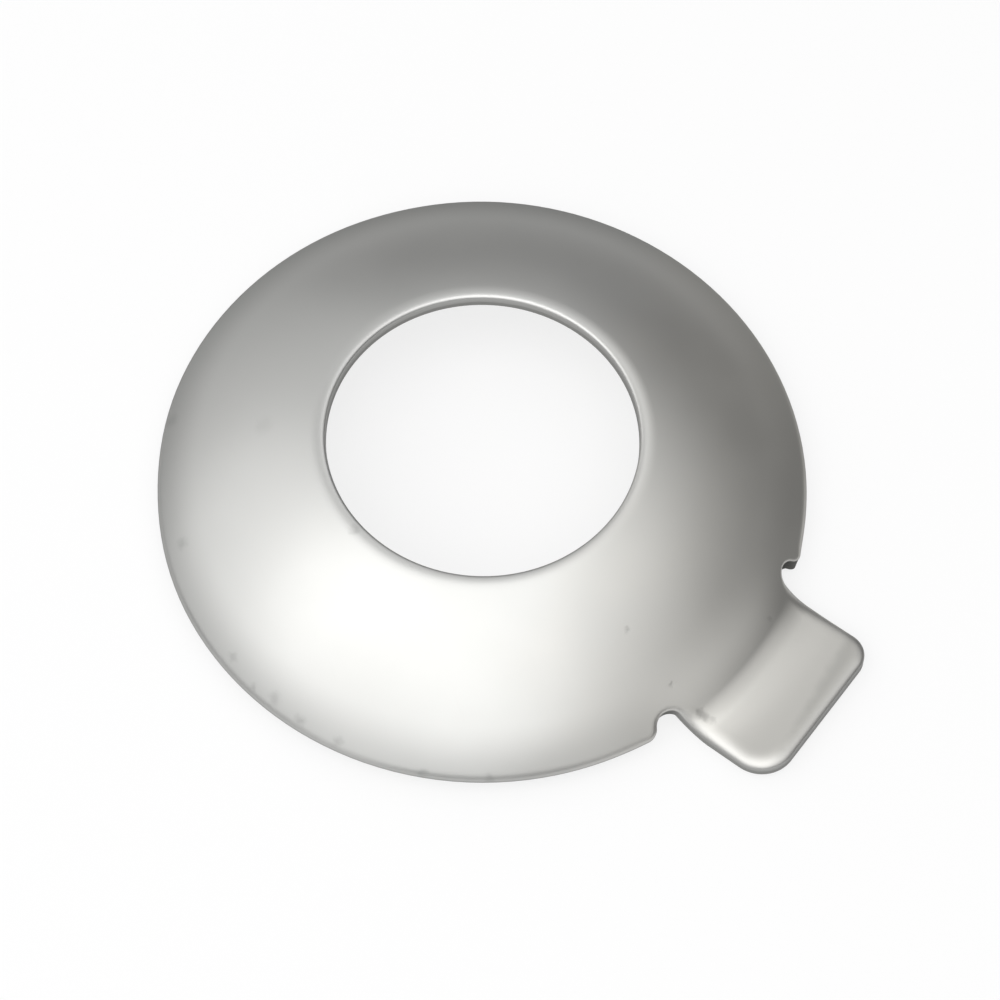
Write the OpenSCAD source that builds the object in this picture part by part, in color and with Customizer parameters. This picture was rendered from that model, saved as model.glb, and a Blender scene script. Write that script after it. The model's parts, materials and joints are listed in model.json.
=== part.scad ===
// Domed thrust washer with one bent locating tab, pressed from one piece of sheet steel.
// Millimetres. +Z runs along the bore towards the convex face, +X towards the tab.
// The origin is on the axis of the bore, half way up its straight wall.

/* [Washer] */
// Diameter over the rim, measured at the convex face
rim_d = 60; // [52:0.5:70]
// Diameter of the bore
bore_d = 27.8; // [20:0.1:34]
// Thickness of the sheet
sheet_t = 1.6; // [1.2:0.1:2.5]
// Radius of the convex spherical face
dome_r = 51; // [44:0.5:80]

/* [Rolled edges] */
// Radius that piercing leaves on the convex side of the bore
bore_roll = 0.6; // [0.3:0.05:1]
// Radius that blanking leaves on the convex side of the rim
rim_roll = 0.6; // [0.2:0.05:1]

/* [Tab] */
// Width of the tab
tab_w = 15.8; // [10:0.1:20]
// Distance from the rim to the end of the tab
tab_reach = 7.8; // [5:0.1:12]
// Radius of the two outer corners of the tab
tab_corner_r = 2.6; // [1:0.1:4.5]
// Distance from the rim to the crease, where the tab turns away from the dome
crease_out = 0.6; // [0.2:0.1:2]
// Inside radius of the bend at the crease
bend_r = 1.5; // [0.8:0.1:3]
// Slope of the tab, in degrees above the plane of the rim
tab_rise = 6; // [0:0.5:12]

/* [Relief notches] */
// Radius of the root of each notch
notch_r = 1.25; // [0.6:0.05:1.6]
// Depth of each notch in from the rim
notch_depth = 1.7; // [1.3:0.1:2.5]
// Radius that rounds the rim into each notch
notch_corner_r = 1.2; // [0.5:0.1:2]

/* [Hidden] */
steel = [0.72, 0.72, 0.70];
$fn = 180;

rim_r = rim_d / 2;
bore_r = bore_d / 2;
concave_r = dome_r - sheet_t;
rim_angle = asin(rim_r / dome_r);
rim_z = dome_r * cos(rim_angle);

// Arcs that round an edge cross the faces beside them by this much, so that they never just touch
poke = 0.002;

// A roll takes at most this share of the sheet, so that some straight wall is left
roll_share = 0.55;
bore_roll_r = min(bore_roll, roll_share * sheet_t);
rim_roll_r = min(rim_roll, roll_share * sheet_t);

// The straight wall of the bore runs from the concave face up to the centre of its roll
bore_roll_c = [bore_r + bore_roll_r, sqrt(pow(dome_r - bore_roll_r, 2) - pow(bore_r + bore_roll_r, 2))];
bore_roll_angle = atan2(bore_roll_c[0], bore_roll_c[1]);
bore_foot_z = sqrt(pow(concave_r, 2) - pow(bore_r, 2));
datum_z = (bore_foot_z + bore_roll_c[1]) / 2;

// The rim's roll touches the convex face and the rim's wall, which is square to the sheet
rim_roll_angle = rim_angle - asin(rim_roll_r / (dome_r - rim_roll_r));
rim_roll_c = (dome_r - rim_roll_r) * toward(rim_roll_angle);

// The tab is worked out about an axis through the centre of the dome, square to the tab's face
crease_r = rim_r + crease_out;
crease_z = sqrt(pow(dome_r, 2) - pow(crease_r, 2));
face_z = crease_z * cos(tab_rise) - crease_r * sin(tab_rise);
bend_c = [sqrt(pow(dome_r + bend_r, 2) - pow(face_z + bend_r, 2)), face_z + bend_r];
bend_angle = atan2(bend_c[0], bend_c[1]);
end_r = rim_r + tab_reach;
end_z = crease_z + (end_r - crease_r) * tan(tab_rise);
end_x = end_r * cos(tab_rise) + end_z * sin(tab_rise);
// The room for the tab starts inside the ring, clear of the notches
root_r = rim_r - notch_depth - 2 * sheet_t;
root_x = root_r * cos(tab_rise) + sqrt(pow(dome_r, 2) - pow(root_r, 2)) * sin(tab_rise);

// Each notch is cut square to the sheet, in a plane tilted by notch_tilt about the Y axis
notch_y = tab_w / 2 + notch_r - poke;
notch_rim_x = sqrt(pow(rim_r, 2) - pow(notch_y, 2));
notch_tilt = asin(notch_rim_x / dome_r);
notch_c = [rim_at(notch_y)[0] - notch_depth + notch_r, notch_y];
corner_y = meet(notch_y, rim_r * 0.8, 24);
corner_c = corner_at(corner_y);

// A point of the rim, at distance y from the tab's centre line, in the plane of a notch
function rim_at(y) = [sqrt(pow(rim_r, 2) - pow(y, 2)) * cos(notch_tilt) - rim_z * sin(notch_tilt), y];

// The centre of the corner circle that touches the rim from inside at distance y
function corner_at(y) =
    let (out = [sqrt(pow(rim_r, 2) - pow(y, 2)) / cos(notch_tilt), y])
    rim_at(y) - notch_corner_r * out / norm(out);

// Halves the span from low to high until the corner circle also touches the notch's root circle
function meet(low, high, steps) =
    let (mid = (low + high) / 2)
    steps == 0 ? mid
    : norm(corner_at(mid) - notch_c) < notch_r + notch_corner_r ? meet(mid, high, steps - 1)
    : meet(low, mid, steps - 1);

// A direction in the half plane of a section, at an angle from the axis
function toward(angle) = [sin(angle), cos(angle)];

module circle_at(centre, r) {
    translate(centre) circle(r = r);
}

// What is cut away to round a corner: the slice between two angles, less a disc
module corner_waste(centre, r, from, to) {
    reach = 3 * r;
    translate(centre) difference() {
        polygon([[0, 0], reach * toward(from), reach * toward((from + to) / 2), reach * toward(to)]);
        circle(r = r + poke);
    }
}

// Section of the domed blank: the convex face from the bore, with its wall and its rolled edge,
// out past the crease of the tab
module blank_section() {
    skirt_r = crease_r + bend_r;
    difference() {
        intersection() {
            circle(r = dome_r);
            translate([bore_r, rim_z / 2]) square([skirt_r - bore_r, dome_r]);
        }
        corner_waste(bore_roll_c, bore_roll_r, -90, bore_roll_angle);
    }
}

// Section of what is cut off round the rim, which leaves a wall square to the sheet and a
// rolled edge on the convex face
module rim_waste_section() {
    polygon([
        dome_r / 2 * toward(rim_angle),
        2 * dome_r * toward(rim_angle),
        2 * dome_r * toward(90),
        dome_r / 2 * toward(90),
    ]);
    corner_waste(rim_roll_c, rim_roll_r, rim_roll_angle, rim_angle + 90);
}

// Fills the inside of the bend up to its radius
module bend_fill() {
    depth = sheet_t / 2;
    difference() {
        polygon([bend_c, [bend_c[0], face_z - depth], (dome_r - depth) * toward(bend_angle)]);
        circle_at(bend_c, bend_r + poke);
    }
}

// Outline of the tab, seen square to its face
module tab_outline() {
    corner_x = end_x - tab_corner_r;
    corner_side = tab_w / 2 - tab_corner_r;
    difference() {
        translate([root_x, -tab_w / 2]) square([end_x - root_x, tab_w]);
        corner_waste([corner_x, corner_side], tab_corner_r, 0, 90);
        corner_waste([corner_x, -corner_side], tab_corner_r, 90, 180);
    }
}

// Turns what is inside it to the slope of the tab, about the centre of the dome
module sloped() {
    rotate([0, -tab_rise, 0]) children();
}

// A slab along the tab, to limit what is turned about the axis of its face
module along_tab(width) {
    translate([root_x / 2, -width / 2, 0]) cube([dome_r, width, dome_r]);
}

// The flat plate of the tab and the inside of its bend, before the outline is cut
module tab_blank() {
    intersection() {
        rotate_extrude() {
            translate([root_x, face_z - sheet_t]) square([end_x + sheet_t - root_x, sheet_t]);
            bend_fill();
        }
        along_tab(tab_w + notch_r);
    }
}

// What is cut from below: the outside of the bend, and everything under the flat plate
module tab_underside() {
    intersection() {
        rotate_extrude() {
            translate([root_x, 0]) square([dome_r, face_z - sheet_t]);
            corner_waste(bend_c, bend_r + sheet_t, bend_angle - 180, -180);
        }
        along_tab(tab_w + 2 * notch_r);
    }
}

// Room for the tab in what is cut off round the rim
module tab_room() {
    translate([0, 0, face_z / 2]) linear_extrude(dome_r) tab_outline();
}

// Shape of a notch: its root circle and the way out past the rim, less the rim's rounded corner.
// It reaches past the side of the tab, which the room for the tab takes back.
module notch_shape() {
    out_x = notch_c[0] + 4 * sheet_t;
    inner_y = tab_w / 2 - notch_r;
    circle_at(notch_c, notch_r);
    difference() {
        polygon([
            notch_c,
            [notch_c[0], inner_y],
            [out_x, inner_y],
            [out_x, corner_y],
            rim_at(corner_y),
            corner_c,
        ]);
        circle_at(corner_c, notch_corner_r + poke);
    }
}

// Cutter for one notch, square to the sheet
module notch() {
    rotate([0, notch_tilt, 0])
        translate([0, 0, concave_r - 2 * sheet_t])
            linear_extrude(5 * sheet_t) notch_shape();
}

// What is cut off outside the outline: round the rim, in both notches and past the tab
module outline_waste() {
    difference() {
        union() {
            rotate_extrude() rim_waste_section();
            notch();
            mirror([0, 1, 0]) notch();
        }
        sloped() tab_room();
    }
}

module thrust_washer() {
    color(steel)
    translate([0, 0, -datum_z])
    difference() {
        union() {
            rotate_extrude() blank_section();
            sloped() tab_blank();
        }
        sphere(r = concave_r);
        outline_waste();
        sloped() tab_underside();
    }
}

thrust_washer();
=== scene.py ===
"""The looks of a domed steel thrust washer: its sheet with rolled edges, its finish and a pale studio."""

import json
import logging
import math
from dataclasses import dataclass, replace
from enum import Enum
from typing import Any

import bmesh
import bpy
from mathutils import Matrix, Vector

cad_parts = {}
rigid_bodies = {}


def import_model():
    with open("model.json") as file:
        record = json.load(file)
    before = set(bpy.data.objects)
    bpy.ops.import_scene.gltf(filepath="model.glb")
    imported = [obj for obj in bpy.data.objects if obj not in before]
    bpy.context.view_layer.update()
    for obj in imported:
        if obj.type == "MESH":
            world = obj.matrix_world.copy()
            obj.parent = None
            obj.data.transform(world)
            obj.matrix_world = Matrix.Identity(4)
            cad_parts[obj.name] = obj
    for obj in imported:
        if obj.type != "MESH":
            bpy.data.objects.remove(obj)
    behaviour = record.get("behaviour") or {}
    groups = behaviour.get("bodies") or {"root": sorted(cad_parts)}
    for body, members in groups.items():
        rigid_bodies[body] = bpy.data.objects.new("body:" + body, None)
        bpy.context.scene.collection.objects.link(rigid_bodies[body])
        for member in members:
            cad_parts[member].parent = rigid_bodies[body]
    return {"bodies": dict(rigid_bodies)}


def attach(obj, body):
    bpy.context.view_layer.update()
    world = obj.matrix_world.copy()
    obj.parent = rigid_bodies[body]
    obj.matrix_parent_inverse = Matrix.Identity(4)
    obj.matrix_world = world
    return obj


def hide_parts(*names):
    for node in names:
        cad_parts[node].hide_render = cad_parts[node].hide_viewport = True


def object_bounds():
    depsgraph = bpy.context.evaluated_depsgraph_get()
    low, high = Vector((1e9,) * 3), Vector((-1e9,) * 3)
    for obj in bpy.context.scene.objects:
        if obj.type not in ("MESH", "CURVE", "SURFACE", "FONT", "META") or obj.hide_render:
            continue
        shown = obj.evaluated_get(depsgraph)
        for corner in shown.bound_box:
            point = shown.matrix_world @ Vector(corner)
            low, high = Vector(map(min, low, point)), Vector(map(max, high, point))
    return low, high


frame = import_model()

CAD_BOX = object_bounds()
MM = 0.001
NODE = "thrust_washer"
BODY = next(iter(frame["bodies"]))

logging.basicConfig(level=logging.INFO, format="%(message)s")
log = logging.getLogger("washer")


class Zone(Enum):
    """Stretches of the washer's outline that the punches left with different edges."""

    END = "end"
    SIDE = "side"
    ROOT = "root"
    CORNER = "corner"
    RIM = "rim"


@dataclass(frozen=True)
class Roll:
    """The soft edge that a punch leaves on the side it enters.

    Args:
        run: How far the roll reaches in from the wall, in millimetres.
        drop: How far it falls below the face at the wall, in millimetres.
        hug: How closely it keeps to the wall, where 1 is a quarter of an ellipse.
        lean: How far the torn wall under it leans from square to the face towards upright, from 0 to 1. The
            same share darkens that wall, partly as torn steel and partly as painted shade.
    """

    run: float
    drop: float
    hug: float = 1.0
    lean: float = 0.0

    def at(self, turn: float) -> tuple[float, float]:
        """Give the distance from the wall and the drop at an angle of the roll.

        Args:
            turn: Angle in radians, 0 at the wall and a quarter turn at the face.

        Returns:
            The distance in from the wall and the drop below the face, in millimetres.
        """
        return self.run * (1 - math.cos(turn)) ** self.hug, self.drop * (1 - math.sin(turn))

    def softened(self, before: "Roll", after: "Roll") -> "Roll":
        """Give this roll drawn half way towards the mean of its two neighbours."""
        return Roll(
            run=(before.run + 2 * self.run + after.run) / 4,
            drop=(before.drop + 2 * self.drop + after.drop) / 4,
            lean=(before.lean + 2 * self.lean + after.lean) / 4,
        )


@dataclass(frozen=True)
class Flat:
    """A stretch where the rim is not quite round.

    Args:
        azimuth: Its middle, in radians round the bore.
        spread: How far it reaches to each side, in radians.
        depth: How far the rim falls short in its middle, in millimetres.
    """

    azimuth: float
    spread: float
    depth: float

    def at(self, azimuth: float) -> float:
        """Give how far the rim falls short at an azimuth, in millimetres."""
        away = math.remainder(azimuth - self.azimuth, 2 * math.pi) / self.spread
        return self.depth * math.exp(-away * away)


@dataclass(frozen=True)
class OutlinePoint:
    """A point of the outline, in the plan of the tab's own plane, in millimetres."""

    x: float
    y: float
    zone: Zone


@dataclass
class WasherSheet:
    """The pressed sheet. Lengths are in millimetres, and heights are from the centre of the dome.

    The sheet is shaped in the tab's own frame, whose axis is square to the flat plate of the tab and
    passes through the centre of the dome. There the dome, the bend and the plate are each a height that
    depends only on the distance from that axis. The roll of the solid model, cad_roll, sets the height of
    the datum, and the rolls beside it are the softer ones that are seen. Left is the side of +Y, and right
    the side of -Y.
    """

    # The dome
    rim_r: float = 30.0
    bore_r: float = 13.9
    thickness: float = 1.6
    dome_r: float = 51.0
    lower_break: float = 0.1
    flats: tuple[Flat, ...] = (
        Flat(math.radians(-138), math.radians(16), 0.18),
        Flat(math.radians(144), math.radians(12), 0.09),
    )

    # The tab, which stands a little to the left, and the notches beside it
    tab_w: float = 15.8
    tab_reach: float = 7.8
    tab_shift: float = 0.06
    left_corner_r: float = 2.1
    right_corner_r: float = 3.2
    crease_out: float = 0.6
    bend_r: float = 3.6
    tab_rise: float = math.radians(6)
    notch_r: float = 1.25
    notch_depth: float = 1.7
    notch_corner_r: float = 1.2

    # The rolled edges, of which the right side of the tab has the widest, from near_side_out past the crease
    cad_roll: float = 0.6
    bore_roll: Roll = Roll(run=1.5, drop=0.65, hug=1.3)
    rim_roll: Roll = Roll(run=0.8, drop=0.53)
    tab_roll: Roll = Roll(run=1.2, drop=0.42)
    near_side_roll: Roll = Roll(run=1.5, drop=0.45)
    near_side_out: float = 2.0
    left_root_roll: Roll = Roll(run=0.3, drop=0.2, lean=0.6)
    right_root_roll: Roll = Roll(run=0.5, drop=0.35, lean=0.45)
    left_corner_roll: Roll = Roll(run=0.3, drop=0.2, lean=0.52)
    right_corner_roll: Roll = Roll(run=0.5, drop=0.35)

    # The swell that the pull of the bend leaves on the neck and the tab's foot, highest at swell_out
    swell_height: float = 0.58
    swell_out: float = -0.2
    neck_run: float = 2.6
    plate_run: float = 2.4
    swell_half: float = 8.5

    # The spacing of the points along the outline
    tab_step: float = 0.2
    notch_step: float = 0.12
    rim_step: float = 1.3
    step_growth: float = 1.12
    touch_limit: float = 0.8
    touch_steps: int = 30

    def __post_init__(self) -> None:
        """Work out the places that follow from the sizes."""
        self.concave_r = self.dome_r - self.thickness
        rise = self.tab_rise
        crease_r = self.rim_r + self.crease_out
        crease_z = math.sqrt(self.dome_r**2 - crease_r**2)
        self.face_z = crease_z * math.cos(rise) - crease_r * math.sin(rise)
        self.crease_reach = math.sqrt(self.dome_r**2 - self.face_z**2)
        self.bend_z = self.face_z + self.bend_r
        self.bend_x = math.sqrt((self.dome_r + self.bend_r) ** 2 - self.bend_z**2)
        self.bend_start = self.bend_x * self.dome_r / (self.dome_r + self.bend_r)
        end_r = self.rim_r + self.tab_reach
        end_z = crease_z + (end_r - crease_r) * math.tan(rise)
        self.end_x = end_r * math.cos(rise) + end_z * math.sin(rise)
        self.rim_z = math.sqrt(self.dome_r**2 - self.rim_r**2)
        self.wall_top_z = math.sqrt((self.dome_r - self.cad_roll) ** 2 - (self.bore_r + self.cad_roll) ** 2)
        self.wall_foot_z = math.sqrt(self.concave_r**2 - self.bore_r**2)
        self.datum_z = (self.wall_foot_z + self.wall_top_z) / 2

    def to_plan(self, point: Vector) -> tuple[float, float]:
        """Give the place of a point of the dome in the plan of the tab's plane.

        Args:
            point: A point from the centre of the dome, with Z along the bore.

        Returns:
            Its two coordinates in the plan.
        """
        turned = Matrix.Rotation(self.tab_rise, 3, "Y") @ point
        return turned.x, turned.y

    def surface(self, x: float, y: float) -> tuple[Vector, Vector]:
        """Give the convex face above a place in the plan.

        Args:
            x: Distance towards the tab.
            y: Distance across.

        Returns:
            The point of the face and its outward normal, in the tab's own frame.
        """
        reach = math.hypot(x, y)
        across = Vector((x / reach, y / reach, 0))
        up = Vector((0, 0, 1))
        if reach <= self.bend_start:
            point = Vector((x, y, math.sqrt(self.dome_r**2 - reach**2)))
            return point, point.normalized()
        if reach >= self.bend_x:
            return Vector((x, y, self.face_z)), up
        side = self.bend_x - reach
        rise = math.sqrt(self.bend_r**2 - side**2)
        normal = (across * side + up * rise) / self.bend_r
        return Vector((x, y, self.bend_z - rise)), normal

    def place(self, x: float, y: float, depth: float) -> Vector:
        """Give the point that lies a depth under the convex face, above a place in the plan.

        Args:
            x: Distance towards the tab.
            y: Distance across.
            depth: Distance below the face, square to it.

        Returns:
            The point in the part's frame, still in millimetres.
        """
        point, normal = self.surface(x, y)
        lift = self.swell(x, y) * (1 - depth / self.thickness)
        return self.to_part(point + normal * (lift - depth))

    def swell(self, x: float, y: float) -> float:
        """Give how far the pull of the bend lifts the face of the neck and of the tab's foot.

        Args:
            x: Distance towards the tab.
            y: Distance across.

        Returns:
            The height of the swell, in millimetres.
        """
        away = math.hypot(x, y) - self.crease_reach - self.swell_out
        away /= self.neck_run if away < 0 else self.plate_run
        return self.swell_height * math.exp(-(away**2) - (y / self.swell_half) ** 4)

    def wall_foot(self, x: float, y: float, lean: float) -> tuple[float, float]:
        """Give the place in the plan of a wall's foot.

        Args:
            x: Distance towards the tab of the wall's top.
            y: Distance across of the wall's top.
            lean: How far the wall leans from square to the face towards upright, from 0 to 1.

        Returns:
            The two coordinates of its foot.
        """
        out = self.surface(x, y)[1] * self.thickness * lean
        return x + out.x, y + out.y

    def to_part(self, point: Vector) -> Vector:
        """Turn a point of the tab's own frame into the part's frame."""
        turned = Matrix.Rotation(-self.tab_rise, 3, "Y") @ point
        return turned - Vector((0, 0, self.datum_z))

    def notch_plane(self) -> float:
        """Give the tilt of the plane in which each notch is cut, in radians."""
        side_y = self.tab_w / 2 + self.notch_r
        return math.asin(math.sqrt(self.rim_r**2 - side_y**2) / self.dome_r)

    def from_notch(self, x: float, y: float) -> tuple[float, float]:
        """Give the place in the plan of a point of the dome that is known in a notch's plane.

        Args:
            x: Distance outwards in the notch's plane.
            y: Distance across.

        Returns:
            Its two coordinates in the plan of the tab's plane.
        """
        height = math.sqrt(self.dome_r**2 - x * x - y * y)
        return self.to_plan(Matrix.Rotation(self.notch_plane(), 3, "Y") @ Vector((x, y, height)))

    def rim_in_notch(self, y: float) -> Vector:
        """Give the rim's point at a distance from the tab's centre line, in a notch's plane."""
        tilt = self.notch_plane()
        return Vector((math.sqrt(self.rim_r**2 - y * y) * math.cos(tilt) - self.rim_z * math.sin(tilt), y))

    def corner_centre(self, y: float) -> Vector:
        """Give the centre of the corner circle that touches the rim from inside at a distance y."""
        out = Vector((math.sqrt(self.rim_r**2 - y * y) / math.cos(self.notch_plane()), y))
        return self.rim_in_notch(y) - out.normalized() * self.notch_corner_r

    def corner_touch(self) -> float:
        """Find where the corner circle touches both the rim and the notch's root.

        Returns:
            The distance y of the point where it touches the rim.
        """
        root = self.root_centre()
        low = root.y
        high = self.rim_r * self.touch_limit
        for _ in range(self.touch_steps):
            middle = (low + high) / 2
            if (self.corner_centre(middle) - root).length < self.notch_r + self.notch_corner_r:
                low = middle
            else:
                high = middle
        return (low + high) / 2

    def root_centre(self) -> Vector:
        """Give the centre of a notch's root circle, in the notch's plane."""
        side_y = self.tab_w / 2 + self.notch_r
        return Vector((self.rim_in_notch(side_y).x - self.notch_depth + self.notch_r, side_y))


def steps_of(length: float, step: float) -> int:
    """Give the number of equal steps, near a wanted size, that fill a length."""
    return max(1, round(length / step))


@dataclass
class Outline:
    """The blanked outline of a washer, sampled from the middle of the tab's end round the +Y side."""

    sheet: WasherSheet

    def half(self, corner_r: float, shift: float) -> list[OutlinePoint]:
        """Give the points from the middle of the tab's end to the far side of the rim.

        Args:
            corner_r: Radius of the tab's corner.
            shift: How far the tab's side stands further out, in millimetres.

        Returns:
            The points, without any flat.
        """
        wide = Outline(replace(self.sheet, tab_w=self.sheet.tab_w + 2 * shift))
        return [*wide.tab_points(corner_r), *wide.notch_points(), *wide.rim_points()]

    def tab_points(self, corner_r: float) -> list[OutlinePoint]:
        """Give the points of half the tab's end, its corner and its side.

        Args:
            corner_r: Radius of the corner.

        Returns:
            The points, without the one where the notch begins.
        """
        s = self.sheet
        side = s.tab_w / 2
        centre = Vector((s.end_x - corner_r, side - corner_r))
        points = []
        count = steps_of(centre.y, s.tab_step)
        for k in range(count):
            points.append(OutlinePoint(s.end_x, centre.y * k / count, Zone.END))
        count = steps_of(corner_r * math.pi / 2, s.tab_step)
        for k in range(count):
            turn = math.pi / 2 * k / count
            place = centre + corner_r * Vector((math.cos(turn), math.sin(turn)))
            points.append(OutlinePoint(place.x, place.y, Zone.END))
        touch_x = s.from_notch(s.root_centre().x, side)[0]
        count = steps_of(centre.x - touch_x, s.tab_step)
        for k in range(count):
            points.append(OutlinePoint(centre.x + (touch_x - centre.x) * k / count, side, Zone.SIDE))
        return points

    def notch_points(self) -> list[OutlinePoint]:
        """Give the points of a notch's root and of the corner that rounds it into the rim.

        Returns:
            The points, without the one where the rim begins.
        """
        s = self.sheet
        root = s.root_centre()
        corner = s.corner_centre(s.corner_touch())
        link = math.atan2(corner.y - root.y, corner.x - root.x)
        out = s.rim_in_notch(s.corner_touch()) - corner
        rim_turn = math.atan2(out.y, out.x)
        points = self.arc(Zone.ROOT, root, s.notch_r, -math.pi / 2, link - 2 * math.pi)
        points += self.arc(Zone.CORNER, corner, s.notch_corner_r, link - math.pi, rim_turn)
        return points

    def arc(self, zone: Zone, centre: Vector, radius: float, start: float, end: float) -> list[OutlinePoint]:
        """Give the points of an arc in a notch's plane, without its last one.

        Args:
            zone: The zone of its points.
            centre: Centre of the arc.
            radius: Its radius.
            start: Angle at which it starts, in radians.
            end: Angle at which it ends, in radians.

        Returns:
            The points, in the plan of the tab's plane.
        """
        s = self.sheet
        count = steps_of(radius * abs(end - start), s.notch_step)
        points = []
        for k in range(count):
            turn = start + (end - start) * k / count
            place = centre + radius * Vector((math.cos(turn), math.sin(turn)))
            points.append(OutlinePoint(*s.from_notch(place.x, place.y), zone))
        return points

    def rim_points(self) -> list[OutlinePoint]:
        """Give the points of half the rim, whose spacing grows away from the notch.

        Returns:
            The points, up to the one opposite the tab.
        """
        s = self.sheet
        start = math.asin(s.corner_touch() / s.rim_r)
        turns = [start]
        step = s.tab_step
        while turns[-1] < math.pi:
            turns.append(turns[-1] + step / s.rim_r)
            step = min(step * s.step_growth, s.rim_step)
        stretch = (math.pi - start) / (turns[-1] - start)
        points = []
        for turn in turns:
            angle = start + (turn - start) * stretch
            place = Vector((s.rim_r * math.cos(angle), s.rim_r * math.sin(angle), s.rim_z))
            points.append(OutlinePoint(*s.to_plan(place), Zone.RIM))
        return points

    def whole(self) -> list[OutlinePoint]:
        """Give the closed outline, with its flats.

        Returns:
            The points, anticlockwise from the middle of the tab's end.
        """
        s = self.sheet
        left = self.half(s.left_corner_r, s.tab_shift)
        right = self.half(s.right_corner_r, -s.tab_shift)
        points = left + [OutlinePoint(p.x, -p.y, p.zone) for p in reversed(right[1:-1])]
        return [self.flattened(p) if p.zone is Zone.RIM else p for p in points]

    def flattened(self, point: OutlinePoint) -> OutlinePoint:
        """Draw a point of the rim in by the flats.

        Args:
            point: The point on the round rim.

        Returns:
            The point on the real rim.
        """
        s = self.sheet
        face = s.place(point.x, point.y, 0)
        azimuth = math.atan2(face.y, face.x)
        radius = s.rim_r - sum(flat.at(azimuth) for flat in s.flats)
        height = math.sqrt(s.dome_r**2 - radius**2)
        place = Vector((radius * math.cos(azimuth), radius * math.sin(azimuth), height))
        return OutlinePoint(*s.to_plan(place), point.zone)


@dataclass(frozen=True)
class Column:
    """One section through the sheet, from the bore to a point of the outline.

    Args:
        azimuth: Its angle round the bore, in radians.
        edge: Its point of the outline, in the plan of the tab's plane, in millimetres.
        inward: The way in from that point along the face, seen in the same plan.
        roll: The roll of the edge there.
    """

    azimuth: float
    edge: Vector
    inward: Vector
    roll: Roll


@dataclass(frozen=True)
class SectionPoint:
    """A point of a section.

    Args:
        place: Where it is in the part's frame, in millimetres.
        edge: How near it is to a sheared edge, where 1 is on it.
        depth: How deep it is in the sheet, from 0 on the convex face to 1 on the concave one.
        torn_and_shaded: How far the wall there is darkened, partly as torn steel and partly as painted shade,
            from 0 to 1.
    """

    place: Vector
    edge: float
    depth: float = 0.0
    torn_and_shaded: float = 0.0


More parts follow.
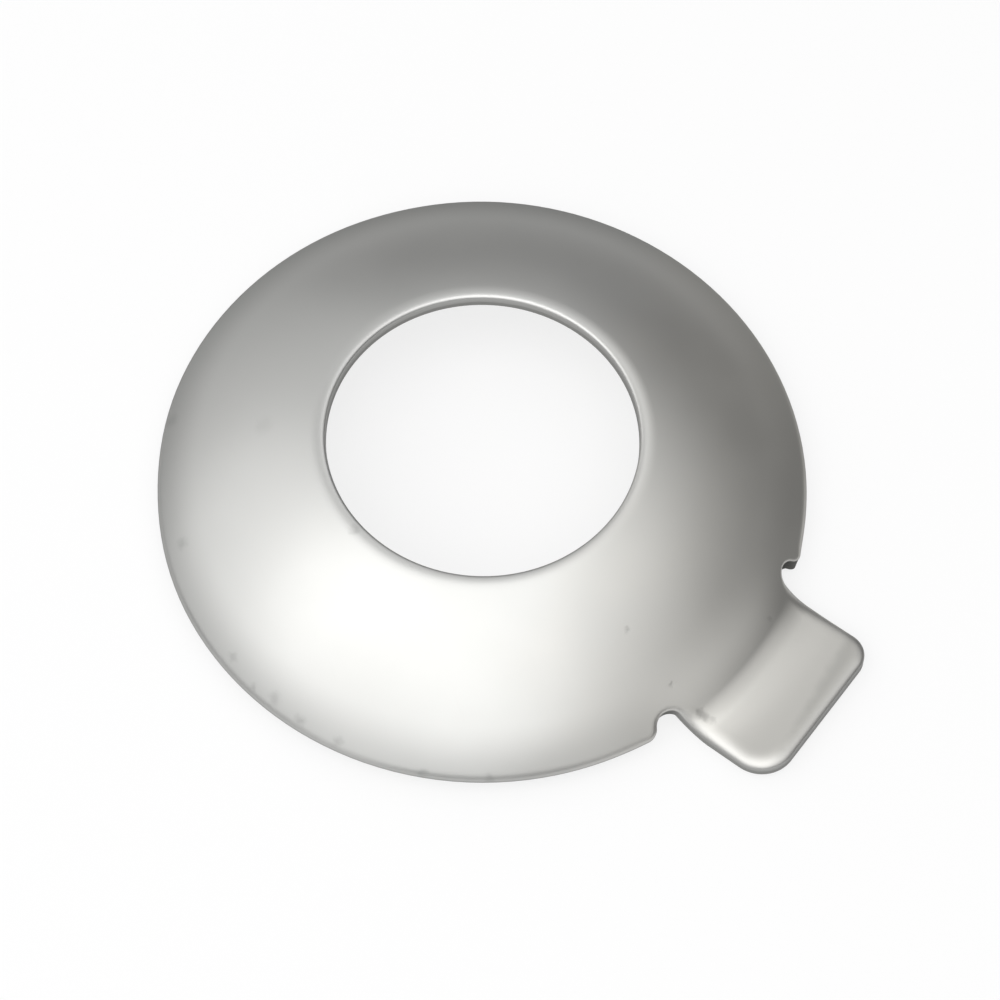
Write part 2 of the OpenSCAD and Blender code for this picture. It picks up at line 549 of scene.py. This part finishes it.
@dataclass
class PressedWasher:
    """The washer as one closed skin, drawn through its sections from the bore to the outline.

    The rows count the places of a section on each stretch of it. The columns run out radially as far as
    the waist of the dome, and from there straight to their points of the outline.
    """

    sheet: WasherSheet
    soften_passes: int = 40
    spread: float = math.radians(25)
    fan: float = 0.42
    fan_power: int = 4
    waist_r: float = 24.0
    bore_rows: int = 12
    dome_rows: int = 8
    neck_rows: int = 7
    bend_rows: int = 9
    plate_rows: int = 9
    roll_rows: int = 7
    bend_half: float = 1.4
    bend_limit: float = 0.96
    plate_share: float = 0.6
    roll_margin: float = 0.2
    break_edge: float = 0.7
    merge_distance: float = 1e-4

    def columns(self) -> list[Column]:
        """Lay a column to each point of the outline.

        Returns:
            The columns, in the order of the outline.
        """
        points = Outline(self.sheet).whole()
        count = len(points)
        faces = [self.sheet.surface(p.x, p.y) for p in points]
        rolls = self.rolls(points)
        turns = self.azimuths(points)
        columns = []
        for k, point in enumerate(points):
            along = faces[(k + 1) % count][0] - faces[k - 1][0]
            inward = faces[k][1].cross(along).normalized()
            columns.append(Column(turns[k], Vector((point.x, point.y)), inward.xy, rolls[k]))
        return columns

    def rolls(self, points: list[OutlinePoint]) -> list[Roll]:
        """Blend the rolls from zone to zone of the outline.

        Args:
            points: The points of the outline.

        Returns:
            The roll at each point.
        """
        s = self.sheet
        left = {
            Zone.END: s.tab_roll,
            Zone.SIDE: s.tab_roll,
            Zone.ROOT: s.left_root_roll,
            Zone.CORNER: s.left_corner_roll,
            Zone.RIM: s.rim_roll,
        }
        right = left | {Zone.ROOT: s.right_root_roll, Zone.CORNER: s.right_corner_roll}
        near = right | {Zone.END: s.near_side_roll, Zone.SIDE: s.near_side_roll}
        near_x = s.crease_reach + s.near_side_out
        near_y = s.right_corner_r - s.tab_w / 2
        rolls = []
        for p in points:
            beside = near if p.x > near_x and p.y < near_y else right
            rolls.append((left if p.y > 0 else beside)[p.zone])
        count = len(rolls)
        for _ in range(self.soften_passes):
            rolls = [rolls[k].softened(rolls[k - 1], rolls[(k + 1) % count]) for k in range(count)]
        return rolls

    def azimuths(self, points: list[OutlinePoint]) -> list[float]:
        """Fan the columns out into the tab from its neck.

        Args:
            points: The points of the outline.

        Returns:
            Each column's angle round the bore, in radians.
        """
        s = self.sheet
        turns = []
        for p in points:
            face = s.place(p.x, p.y, 0)
            turns.append(math.atan2(face.y, face.x))
        for side in (1, -1):
            first = next(k for k in range(len(points)) if side * turns[side * k] > self.spread)
            travelled = [0.0]
            for k in range(1, first + 1):
                here, there = points[side * k], points[side * (k - 1)]
                travelled.append(travelled[-1] + math.hypot(here.x - there.x, here.y - there.y))
            reached = turns[side * first]
            for k in range(first):
                share = travelled[k] / travelled[first]
                turns[side * k] = reached * (self.fan * share + (1 - self.fan) * share**self.fan_power)
        return turns

    def lane(self, column: Column) -> list[Vector]:
        """Give the places in plan from the waist of the dome out to the roll, closest at the bend.

        Args:
            column: The column that the places follow.

        Returns:
            The places, without the one on the waist.
        """
        s = self.sheet
        start = Vector(s.to_plan(self.on_dome(self.waist_r, column.azimuth)))
        end = column.edge + column.inward * (column.roll.run + self.roll_margin)
        span = (end - start).length
        middle = (s.bend_start + s.bend_x) / 2
        bend = self.bend_limit
        if end.length > middle:
            way = (end - start).normalized()
            nearest = start.dot(way)
            to_bend = math.sqrt(middle**2 - start.length_squared + nearest**2) - nearest
            bend = min(bend, to_bend / span)
        before = bend - self.bend_half / span
        after = bend + min(self.bend_half / span, (1 - bend) * self.plate_share)
        stops = [(0.0, before, self.neck_rows), (before, bend, self.bend_rows)]
        stops += [(bend, after, self.bend_rows), (after, 1.0, self.plate_rows)]
        places = []
        for low, high, rows in stops:
            for k in range(1, rows + 1):
                places.append(start.lerp(end, low + (high - low) * k / rows))
        return places

    def on_dome(self, radius: float, azimuth: float) -> Vector:
        """Give the point of the convex face at a distance from the bore's axis."""
        height = math.sqrt(self.sheet.dome_r**2 - radius**2)
        return Vector((radius * math.cos(azimuth), radius * math.sin(azimuth), height))

    def bore_profile(self) -> list[tuple[float, float, float]]:
        """Draw the bore's wall and roll, from the foot up.

        Returns:
            For each point its distance from the axis, its height and how near it is to a sheared edge.
        """
        s = self.sheet
        foot = s.bore_r + s.lower_break
        profile = [
            (foot, math.sqrt(s.concave_r**2 - foot**2), self.break_edge),
            (s.bore_r, s.wall_foot_z + s.lower_break, 1.0),
        ]
        for k in range(self.bore_rows + 1):
            turn = math.pi / 2 * k / self.bore_rows
            away, fall = s.bore_roll.at(turn)
            radius = s.bore_r + away
            profile.append((radius, math.sqrt(s.dome_r**2 - radius**2) - fall, math.cos(turn)))
        return profile

    def section(self, column: Column) -> list[SectionPoint]:
        """Give the closed section at a column, up the bore, out over the face and back underneath.

        Args:
            column: The column to cut.

        Returns:
            Its points in the part's frame, in millimetres, the same number for every column.
        """
        s = self.sheet
        drop = Vector((0, 0, s.datum_z))
        bore = self.bore_profile()
        points = []
        for k, (radius, height, edge) in enumerate(bore):
            place = Vector((radius * math.cos(column.azimuth), radius * math.sin(column.azimuth), height))
            points.append(SectionPoint(place - drop, edge, depth=1.0 if k < 2 else 0.0))
        inner_r = bore[-1][0]
        width = self.waist_r - inner_r
        radii = [inner_r + width * k / self.dome_rows for k in range(1, self.dome_rows + 1)]
        for radius in radii:
            plan = s.to_plan(self.on_dome(radius, column.azimuth))
            points.append(SectionPoint(s.place(*plan, 0), 0.0))
        lane = self.lane(column)
        for place in lane:
            points.append(SectionPoint(s.place(place.x, place.y, 0), 0.0))
        # The lean also sets how dark the wall is: partly torn steel, partly painted shade
        torn_and_shaded = column.roll.lean
        for k in range(self.roll_rows + 1):
            turn = math.pi / 2 * (1 - k / self.roll_rows)
            away, fall = column.roll.at(turn)
            place = column.edge + column.inward * away
            points.append(SectionPoint(s.place(place.x, place.y, fall), math.cos(turn), 0.0, torn_and_shaded))
        edge = column.edge
        foot = s.wall_foot(edge.x, edge.y, torn_and_shaded)
        points.append(SectionPoint(s.place(*foot, s.thickness - s.lower_break), 1.0, 1.0, torn_and_shaded))
        edge = column.edge + column.inward * s.lower_break
        foot = s.wall_foot(edge.x, edge.y, torn_and_shaded)
        points.append(SectionPoint(s.place(*foot, s.thickness), self.break_edge, 1.0, torn_and_shaded))
        # The underside has every second place of the face.
        for place in reversed(lane[::2]):
            points.append(SectionPoint(s.place(place.x, place.y, s.thickness), 0.0, 1.0))
        for radius in reversed(radii[1::2]):
            plan = s.to_plan(self.on_dome(radius, column.azimuth))
            points.append(SectionPoint(s.place(*plan, s.thickness), 0.0, 1.0))
        return points

    def build(self, name: str, material: bpy.types.Material) -> bpy.types.Object:
        """Make the washer's object.

        Args:
            name: Name of the piece.
            material: Its finish.

        Returns:
            The object, with its place in its mesh, in metres.
        """
        sections = [self.section(column) for column in self.columns()]
        shape = bmesh.new()
        number = shape.verts.layers.int.new("column")
        layers = {name: shape.verts.layers.float.new(name) for name in ("edge", "depth", "torn_and_shaded")}
        bmesh.ops.create_circle(shape, segments=len(sections), radius=self.sheet.bore_r)
        loop_verts = list(shape.verts)
        loop_edges = list(shape.edges)
        for k, vert in enumerate(loop_verts):
            vert[number] = k
        rows = len(sections[0])
        for row in range(rows + 1):
            if row:
                grown = bmesh.ops.extrude_edge_only(shape, edges=loop_edges)["geom"]
                loop_verts = [part for part in grown if isinstance(part, bmesh.types.BMVert)]
                loop_edges = [part for part in grown if isinstance(part, bmesh.types.BMEdge)]
            for vert in loop_verts:
                point = sections[vert[number]][row % rows]
                vert.co = point.place
                for layer_name, layer in layers.items():
                    vert[layer] = getattr(point, layer_name)
        bmesh.ops.remove_doubles(shape, verts=shape.verts, dist=self.merge_distance)
        bmesh.ops.recalc_face_normals(shape, faces=shape.faces)
        bmesh.ops.scale(shape, vec=(MM, MM, MM), verts=shape.verts)
        for face in shape.faces:
            face.smooth = True
        mesh = bpy.data.meshes.new(name)
        shape.to_mesh(mesh)
        shape.free()
        mesh.materials.append(material)
        piece = bpy.data.objects.new(name, mesh)
        bpy.context.scene.collection.objects.link(piece)
        return piece


class Wire:
    """A shader socket on which arithmetic adds Math nodes."""

    def __init__(self, graph: "Graph", socket: bpy.types.NodeSocket) -> None:
        """Keep the graph and the socket.

        Args:
            graph: The graph that new nodes go into.
            socket: The output socket that this wire stands for.
        """
        self.graph = graph
        self.socket = socket

    def math(self, operation: str, first: Any, second: Any) -> "Wire":
        """Add a Math node on two values."""
        return self.graph.node("ShaderNodeMath", {"operation": operation}, {0: first, 1: second})

    def __add__(self, other: Any) -> "Wire":
        """Add."""
        return self.math("ADD", self, other)

    def __radd__(self, other: Any) -> "Wire":
        """Add, from the right."""
        return self.math("ADD", other, self)

    def __sub__(self, other: Any) -> "Wire":
        """Subtract."""
        return self.math("SUBTRACT", self, other)

    def __rsub__(self, other: Any) -> "Wire":
        """Subtract, from the right."""
        return self.math("SUBTRACT", other, self)

    def __mul__(self, other: Any) -> "Wire":
        """Multiply."""
        return self.math("MULTIPLY", self, other)

    def __rmul__(self, other: Any) -> "Wire":
        """Multiply, from the right."""
        return self.math("MULTIPLY", other, self)

    def __pow__(self, other: Any) -> "Wire":
        """Raise to a power."""
        return self.math("POWER", self, other)

    def __rpow__(self, other: Any) -> "Wire":
        """Raise to a power, from the right."""
        return self.math("POWER", other, self)


@dataclass(frozen=True)
class Cloud:
    """A soft noise on the object's own coordinates.

    Args:
        size: About how large its features are, in metres.
        detail: How many finer layers it has.
        seed: Chooses the pattern.
    """

    size: float
    detail: float
    seed: float


@dataclass(frozen=True)
class Scratches:
    """Fine scratches that run one way.

    Args:
        length: Length of a scratch, in metres.
        width: Its width, in metres.
        turn: Its direction round the bore, in radians.
        seed: Chooses the pattern.
        start: Value of the drawn-out noise at which a scratch starts.
        full: Value at which it is full.
    """

    length: float
    width: float
    turn: float
    seed: float
    start: float
    full: float


class Graph:
    """The node tree of a material, with one way to add any node."""

    def __init__(self, name: str) -> None:
        """Start a material with an empty tree.

        Args:
            name: Name of the material.
        """
        self.material = bpy.data.materials.new(name)
        self.material.use_nodes = True
        self.tree = self.material.node_tree
        self.tree.nodes.clear()

    def node(self, kind: str, settings: dict[str, Any], sockets: dict[Any, Any], out: Any = 0) -> Wire:
        """Add a node.

        Args:
            kind: Its type.
            settings: Its own settings, which are set before its sockets.
            sockets: Values or wires for its inputs, by name or number.
            out: Name or number of the output that is used.

        Returns:
            A wire from that output.
        """
        made = self.tree.nodes.new(kind)
        for key, value in settings.items():
            setattr(made, key, value)
        for key, value in sockets.items():
            if isinstance(value, Wire):
                self.tree.links.new(value.socket, made.inputs[key])
            else:
                made.inputs[key].default_value = value
        return Wire(self, made.outputs[out] if len(made.outputs) else None)

    def place(self) -> Wire:
        """Give the object's own coordinates, in metres."""
        return self.node("ShaderNodeTexCoord", {}, {}, "Object")

    def vector(self, operation: str, first: Any, second: Any, out: str = "Vector") -> Wire:
        """Add a Vector Math node on two vectors."""
        return self.node("ShaderNodeVectorMath", {"operation": operation}, {0: first, 1: second}, out)

    def part(self, axis: str) -> Wire:
        """Give one of the object's own coordinates, in metres."""
        return self.node("ShaderNodeSeparateXYZ", {}, {0: self.place()}, axis)

    def attribute(self, name: str) -> Wire:
        """Give a value that the mesh carries."""
        return self.node("ShaderNodeAttribute", {"attribute_name": name}, {}, "Fac")

    def ramp(self, value: Wire, low: float, high: float) -> Wire:
        """Give a share that grows smoothly from 0 at one value to 1 at another."""
        settings = {"interpolation_type": "SMOOTHSTEP"}
        return self.node("ShaderNodeMapRange", settings, {"Value": value, 1: low, 2: high}, "Result")

    def mixed(self, share: Any, low: Any, high: Any) -> Wire:
        """Mix two colours by a share."""
        sockets = {"Factor": share, 6: low, 7: high}
        return self.node("ShaderNodeMix", {"data_type": "RGBA"}, sockets, 2)

    def noise(self, place: Wire, scale: float, detail: float, seed: float, out: str = "Fac") -> Wire:
        """Add a noise at a place."""
        sockets = {"Vector": place, "Scale": scale, "Detail": detail, "W": seed}
        return self.node("ShaderNodeTexNoise", {"noise_dimensions": "4D"}, sockets, out)

    def cloud(self, cloud: Cloud, out: str = "Fac") -> Wire:
        """Add a soft noise."""
        return self.noise(self.place(), 1 / cloud.size, cloud.detail, cloud.seed, out)

    def wander(self, cloud: Cloud, reach: float) -> Wire:
        """Give a value that wanders about 0 with a soft noise."""
        return reach * (self.cloud(cloud) - 0.5)

    def scratches(self, run: Scratches) -> Wire:
        """Draw a noise out into scratches.

        Args:
            run: The scratches.

        Returns:
            How deep they are at a place, from 0 to 1.
        """
        scale = (1 / run.length, 1 / run.width, 1 / run.length)
        turned = self.node("ShaderNodeMapping", {}, {"Vector": self.place(), "Rotation": (0, 0, run.turn)})
        drawn = self.vector("MULTIPLY", turned, scale)
        return self.ramp(self.noise(drawn, 1.0, 2.0, run.seed), run.start, run.full)


@dataclass(frozen=True)
class Mark:
    """A small mark in the convex face.

    Args:
        x: Distance towards the tab, in the plan of the tab's plane, in millimetres.
        y: Distance across, in millimetres.
        radius: Its radius, in millimetres.
        dark: How much it darkens the steel, from 0 to 1. It is deeper where it is darker.
    """

    x: float
    y: float
    radius: float
    dark: float


HANDLING_MARKS = (
    Mark(-11.2, -23.1, 0.9, 0.16),
    Mark(-0.6, -28.3, 0.7, 0.14),
    Mark(2.4, -29.2, 0.6, 0.16),
    Mark(4.6, -28.9, 0.9, 0.15),
    Mark(7.6, -28.9, 0.8, 0.18),
    Mark(11.3, -28.3, 0.8, 0.18),
    Mark(18.6, -25.9, 0.7, 0.16),
    Mark(23.3, -22.7, 0.7, 0.14),
    Mark(2.6, -14.4, 0.7, 0.16),
    Mark(-11.1, -11.1, 1.4, 0.06),
    Mark(-20.6, -14.3, 1.1, 0.10),
    Mark(25.5, -6.0, 0.45, 0.22),
    Mark(30.6, -6.55, 0.45, 0.22),
    Mark(33.2, 4.1, 0.4, 0.15),
    Mark(33.65, -6.6, 0.7, 0.36),
    Mark(34.2, -6.5, 0.5, 0.22),
    Mark(34.75, -6.35, 0.45, 0.18),
)


@dataclass(frozen=True)
class SatinSteel:
    """Bare steel that was pressed, tumbled and handled.

    The face is satin, with faint clouds, a faint straw tint towards the tab and fine scratches. The
    rolled edges are burnished, and the sheared walls are smooth near the face and torn below it. Painted
    shade darkens a band along the rim, the margin along the tab's end and the notch walls, which are also
    torn.
    Lengths are in metres, and shares and tints are from 0 to 1.
    """

    # The colours, and how much of them the steel keeps at a glancing angle
    face: tuple[float, float, float, float] = (0.573, 0.57, 0.556, 1)
    shade: tuple[float, float, float, float] = (0.522, 0.527, 0.513, 1)
    straw: tuple[float, float, float, float] = (0.575, 0.565, 0.534, 1)
    burnished: tuple[float, float, float, float] = (0.72, 0.72, 0.71, 1)
    wall: tuple[float, float, float, float] = (0.44, 0.44, 0.43, 1)
    fracture: tuple[float, float, float, float] = (0.36, 0.36, 0.35, 1)
    # The notch walls' dark: partly torn steel, partly painted shade
    torn_and_shaded: tuple[float, float, float, float] = (0.10, 0.10, 0.095, 1)
    black: tuple[float, float, float, float] = (0, 0, 0, 1)
    glancing_tint: tuple[float, float, float, float] = (0.25, 0.25, 0.25, 1)
    shade_cloud: Cloud = Cloud(0.018, 3, 1.0)
    straw_cloud: Cloud = Cloud(0.012, 3, 7.0)
    straw_wander: float = 0.02
    straw_slant: float = 0.5
    straw_share: float = 0.9
    straw_start: float = 0.004
    straw_full: float = 0.026

    # The roughness, and the fine grain under it
    face_roughness: float = 0.4
    wall_roughness: float = 0.5
    smear_roughness: float = 0.08
    scratch_roughness: float = 0.04
    fracture_roughness: float = 0.15
    smears: Cloud = Cloud(0.006, 4, 5.0)
    long_scratches: Scratches = Scratches(0.006, 0.00008, 0.5, 11.0, 0.62, 0.72)
    short_scratches: Scratches = Scratches(0.004, 0.00007, -0.9, 12.0, 0.64, 0.74)
    grain: Cloud = Cloud(0.00012, 2, 9.0)
    grain_height: float = 0.0006

    # The painted shade in a band along the rim, which is fainter on the neck and the tab
    rim_painted_shade: float = 0.26
    rim_band: float = 0.0045
    rim_r: float = 0.03
    neck_share: float = 0.55
    neck_start: float = 0.021
    neck_end: float = 0.027

    # The painted shade along the tab's end, which reaches further in on the +Y side
    end_painted_shade: float = 0.17
    end_start: float = 0.0357
    end_full: float = 0.0368
    end_slant: float = 0.12
    end_wander: float = 0.0006
    end_cloud: Cloud = Cloud(0.0012, 3, 3.0)

    # The rolls and walls, told by how near a place is to a sheared edge
    burnish: float = 2.2
    burnish_power: int = 3
    wall_power: int = 10
    break_start: float = 0.35
    break_full: float = 0.5
    break_wander: float = 0.3
    break_cloud: Cloud = Cloud(0.0015, 3, 2.0)
    # Where the notch walls get their dark, partly torn steel and partly painted shade
    torn_and_shaded_start: float = 0.2
    torn_and_shaded_full: float = 0.7
    fracture_height: float = 0.01
    fracture_cloud: Cloud = Cloud(0.0003, 3, 4.0)

    # The marks of handling
    marks: tuple[Mark, ...] = HANDLING_MARKS
    mark_depth: float = 0.05
    mark_raggedness: float = 0.0009
    mark_cloud: Cloud = Cloud(0.0006, 2, 6.0)

    def material(self, name: str, sheet: WasherSheet) -> bpy.types.Material:
        """Make the finish.

        Args:
            name: Name of the material.
            sheet: The sheet that carries the marks.

        Returns:
            The material.
        """
        graph = Graph(name)
        edge = graph.attribute("edge")
        torn_and_shaded = graph.ramp(graph.attribute("torn_and_shaded"), self.torn_and_shaded_start, self.torn_and_shaded_full)
        dark = self.mark_share(graph, sheet)
        walls = edge**self.wall_power
        broken = graph.attribute("depth") + graph.wander(self.break_cloud, self.break_wander)
        fractured = graph.ramp(broken, self.break_start, self.break_full) * walls
        burnished = self.burnish * edge**self.burnish_power * (1 - edge)
        tone = graph.mixed(burnished, self.face_tone(graph), self.burnished)
        # The marks darken the steel, and the margin along the tab's end gets painted shade
        tone = graph.mixed(dark + self.end_painted_shade * self.painted_end_shade(graph), tone, self.black)
        colour = graph.mixed(walls, tone, self.wall)
        colour = graph.mixed(fractured, colour, self.fracture)
        # Painted shade on the notch walls, which are also torn
        colour = graph.mixed(torn_and_shaded * walls, colour, self.torn_and_shaded)
        scratches = graph.scratches(self.long_scratches) + graph.scratches(self.short_scratches)
        rough = self.face_roughness + graph.wander(self.smears, self.smear_roughness)
        rough = rough + self.scratch_roughness * scratches
        rough = rough + (self.wall_roughness - self.face_roughness) * walls
        rough = rough + self.fracture_roughness * fractured
        height = self.grain_height * graph.cloud(self.grain) - self.mark_depth * dark
        height = height + self.fracture_height * fractured * graph.cloud(self.fracture_cloud)
        bump = graph.node("ShaderNodeBump", {}, {"Strength": 1.0, "Distance": MM, "Height": height}, "Normal")
        sockets = {"Base Color": colour, "Metallic": 1.0, "Roughness": rough, "Normal": bump}
        sockets["Specular Tint"] = self.glancing_tint
        shader = graph.node("ShaderNodeBsdfPrincipled", {}, sockets, "BSDF")
        graph.node("ShaderNodeOutputMaterial", {}, {"Surface": shader})
        return graph.material

    def face_tone(self, graph: Graph) -> Wire:
        """Mix the colour of the open faces from clouds, the straw tint and the painted shade in a band along
        the rim.

        Args:
            graph: The graph of the material.

        Returns:
            The colour.
        """
        tone = graph.mixed(graph.cloud(self.shade_cloud), self.face, self.shade)
        across = graph.part("X") + self.straw_slant * graph.part("Y")
        across = across + graph.wander(self.straw_cloud, self.straw_wander)
        straw = self.straw_share * graph.ramp(across, self.straw_start, self.straw_full)
        tone = graph.mixed(straw, tone, self.straw)
        flat = graph.vector("MULTIPLY", graph.place(), (1, 1, 0))
        reach = graph.vector("LENGTH", flat, (0, 0, 0), "Value")
        near_rim = graph.ramp(reach, self.rim_r - self.rim_band, self.rim_r)
        on_neck = graph.ramp(graph.part("X"), self.neck_start, self.neck_end)
        # Painted shade: the band along the rim is darkened, less so on the neck
        painted_rim_shade = self.rim_painted_shade * (near_rim * (1 - self.neck_share * on_neck))
        return graph.mixed(painted_rim_shade, tone, self.black)

    def painted_end_shade(self, graph: Graph) -> Wire:
        """Tell how near a place is to the painted shade along the tab's end.

        Args:
            graph: The graph of the material.

        Returns:
            The share, from 0 to 1.
        """
        along = graph.part("X") + self.end_slant * graph.part("Y")
        along = along + graph.wander(self.end_cloud, self.end_wander)
        return graph.ramp(along, self.end_start, self.end_full)

    def mark_share(self, graph: Graph, sheet: WasherSheet) -> Wire:
        """Tell how much the marks darken a place.

        Args:
            graph: The graph of the material.
            sheet: The sheet that carries the marks.

        Returns:
            The share, from 0 to 1.
        """
        ragged = graph.vector("SUBTRACT", graph.cloud(self.mark_cloud, "Color"), (0.5, 0.5, 0.5))
        shift = graph.vector("MULTIPLY", ragged, (self.mark_raggedness,) * 3)
        place = graph.vector("ADD", graph.place(), shift)
        shares = []
        for mark in self.marks:
            centre = sheet.place(mark.x, mark.y, 0) * MM
            away = graph.vector("DISTANCE", place, tuple(centre), "Value")
            shares.append(mark.dark * graph.ramp(away, mark.radius * MM, 0.0))
        return sum(shares)


@dataclass(frozen=True)
class Lamp:
    """A round soft box that faces the washer.

    Args:
        azimuth: Where it stands round the washer, in degrees to the right of the camera.
        elevation: How high it stands, in degrees.
        spread: Half of the angle that it fills, seen from the washer, in degrees.
        radiance: How bright its face is, where 1 is white.
    """

    azimuth: float
    elevation: float
    spread: float
    radiance: float


@dataclass(frozen=True)
class Studio:
    """A white floor, soft lamps and the camera."""

    azimuth: float = 37.7
    elevation: float = 62.08
    distance: float = 0.18
    target_z: float = -0.00268
    lens: float = 72.1
    sensor: float = 36.0
    yaw: float = math.radians(-0.528)
    pitch: float = math.radians(-1.401)
    roll: float = math.radians(-1.262)
    clip_start: float = 0.01
    floor_size: float = 60.0
    floor_roughness: float = 0.9
    floor_colour: tuple[float, float, float, float] = (0.8, 0.8, 0.8, 1)
    floor_glow: tuple[float, float, float, float] = (1, 1, 1, 1)
    glow_share: float = 0.75
    floor_z: float = CAD_BOX[0].z
    lamp_distance: float = 0.8
    lamps: tuple[Lamp, ...] = (
        Lamp(-30, 62, 36, 1.2),
        Lamp(30, 62, 36, 0.71),
        Lamp(120, 62, 25, 0.73),
        Lamp(-90, 45, 28, 1.02),
        Lamp(180, 45, 25, 0.58),
        Lamp(-135, 25, 22, 0.59),
        Lamp(2, 16, 14, 0.7),
        Lamp(-32, 16, 16, 1.2),
        Lamp(-62, 16, 12, 0.8),
        Lamp(-98, 16, 17, 0.4),
        Lamp(34, 16, 12, 0.6),
    )
    world: float = 0.175

    def direction(self, azimuth: float, elevation: float) -> Vector:
        """Give the way from the washer to a place.

        Args:
            azimuth: The place's azimuth in degrees, 0 in front at -Y and 90 at +X.
            elevation: Its elevation in degrees.

        Returns:
            The way, as a unit vector.
        """
        turn = math.radians(azimuth)
        rise = math.radians(elevation)
        return Vector((math.sin(turn) * math.cos(rise), -math.cos(turn) * math.cos(rise), math.sin(rise)))

    def add_camera(self) -> None:
        """Put the camera where the photograph was taken from."""
        back = self.direction(self.azimuth, self.elevation)
        right = Vector((0, 0, 1)).cross(back).normalized()
        up = back.cross(right)
        axes = Matrix((right, up, back)).transposed()
        for axis, angle in ((1, self.yaw), (0, self.pitch), (2, -self.roll)):
            axes = Matrix.Rotation(angle, 3, axes.col[axis].copy()) @ axes
        data = bpy.data.cameras.new("camera")
        data.lens = self.lens
        data.sensor_width = self.sensor
        data.clip_start = self.clip_start
        camera = bpy.data.objects.new("camera", data)
        camera.rotation_mode = "QUATERNION"
        camera.location = Vector((0, 0, self.target_z)) + back * self.distance
        camera.rotation_quaternion = axes.to_quaternion()
        bpy.context.scene.collection.objects.link(camera)
        bpy.context.scene.camera = camera

    def add_lamps(self) -> None:
        """Hang the lamps."""
        for k, lamp in enumerate(self.lamps):
            data = bpy.data.lights.new(f"lamp_{k}", "AREA")
            data.shape = "DISK"
            data.size = 2 * self.lamp_distance * math.tan(math.radians(lamp.spread))
            # A disk's energy is its radiance times pi times its area.
            data.energy = lamp.radiance * (math.pi * data.size / 2) ** 2
            way = self.direction(self.azimuth + lamp.azimuth, lamp.elevation)
            light = bpy.data.objects.new(f"lamp_{k}", data)
            light.rotation_mode = "QUATERNION"
            light.location = way * self.lamp_distance
            light.rotation_quaternion = way.to_track_quat("Z", "Y")
            bpy.context.scene.collection.objects.link(light)

    def add_floor(self) -> None:
        """Lay a white floor under the washer."""
        shape = bmesh.new()
        bmesh.ops.create_grid(shape, x_segments=1, y_segments=1, size=self.floor_size / 2)
        bmesh.ops.translate(shape, vec=(0, 0, self.floor_z), verts=shape.verts)
        mesh = bpy.data.meshes.new("floor")
        shape.to_mesh(mesh)
        shape.free()
        graph = Graph("floor_white")
        sockets = {"Base Color": self.floor_colour, "Roughness": self.floor_roughness}
        paper = graph.node("ShaderNodeBsdfPrincipled", {}, sockets, "BSDF")
        glow = graph.node("ShaderNodeEmission", {}, {"Color": self.floor_glow, "Strength": 1.0})
        camera = graph.node("ShaderNodeLightPath", {}, {}, "Is Camera Ray")
        glossy = graph.node("ShaderNodeLightPath", {}, {}, "Is Glossy Ray")
        clear = graph.node("ShaderNodeLightPath", {}, {}, "Is Transmission Ray")
        seen = self.glow_share * (camera + glossy + clear)
        shader = graph.node("ShaderNodeMixShader", {}, {0: seen, 1: paper, 2: glow})
        graph.node("ShaderNodeOutputMaterial", {}, {"Surface": shader})
        mesh.materials.append(graph.material)
        floor = bpy.data.objects.new("floor", mesh)
        bpy.context.scene.collection.objects.link(floor)

    def add_world(self) -> None:
        """Fill the room with plain light."""
        world = bpy.data.worlds.new("studio")
        world.use_nodes = True
        backdrop = world.node_tree.nodes["Background"]
        backdrop.inputs["Color"].default_value = (1, 1, 1, 1)
        backdrop.inputs["Strength"].default_value = self.world
        bpy.context.scene.world = world

    def build(self) -> None:
        """Set up the whole studio."""
        self.add_camera()
        self.add_floor()
        self.add_lamps()
        self.add_world()
        bpy.context.scene.view_settings.view_transform = "Standard"


def main() -> None:
    """Build the washer and its studio."""
    sheet = WasherSheet()
    steel = SatinSteel().material("satin_steel", sheet)
    washer = PressedWasher(sheet).build("washer_sheet", steel)
    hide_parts(NODE)
    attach(washer, BODY)
    log.info("washer_sheet: %d faces", len(washer.data.polygons))
    studio = Studio()
    studio.build()
    log.info("studio: %d lamps", len(studio.lamps))


if __name__ == "__main__":
    main()
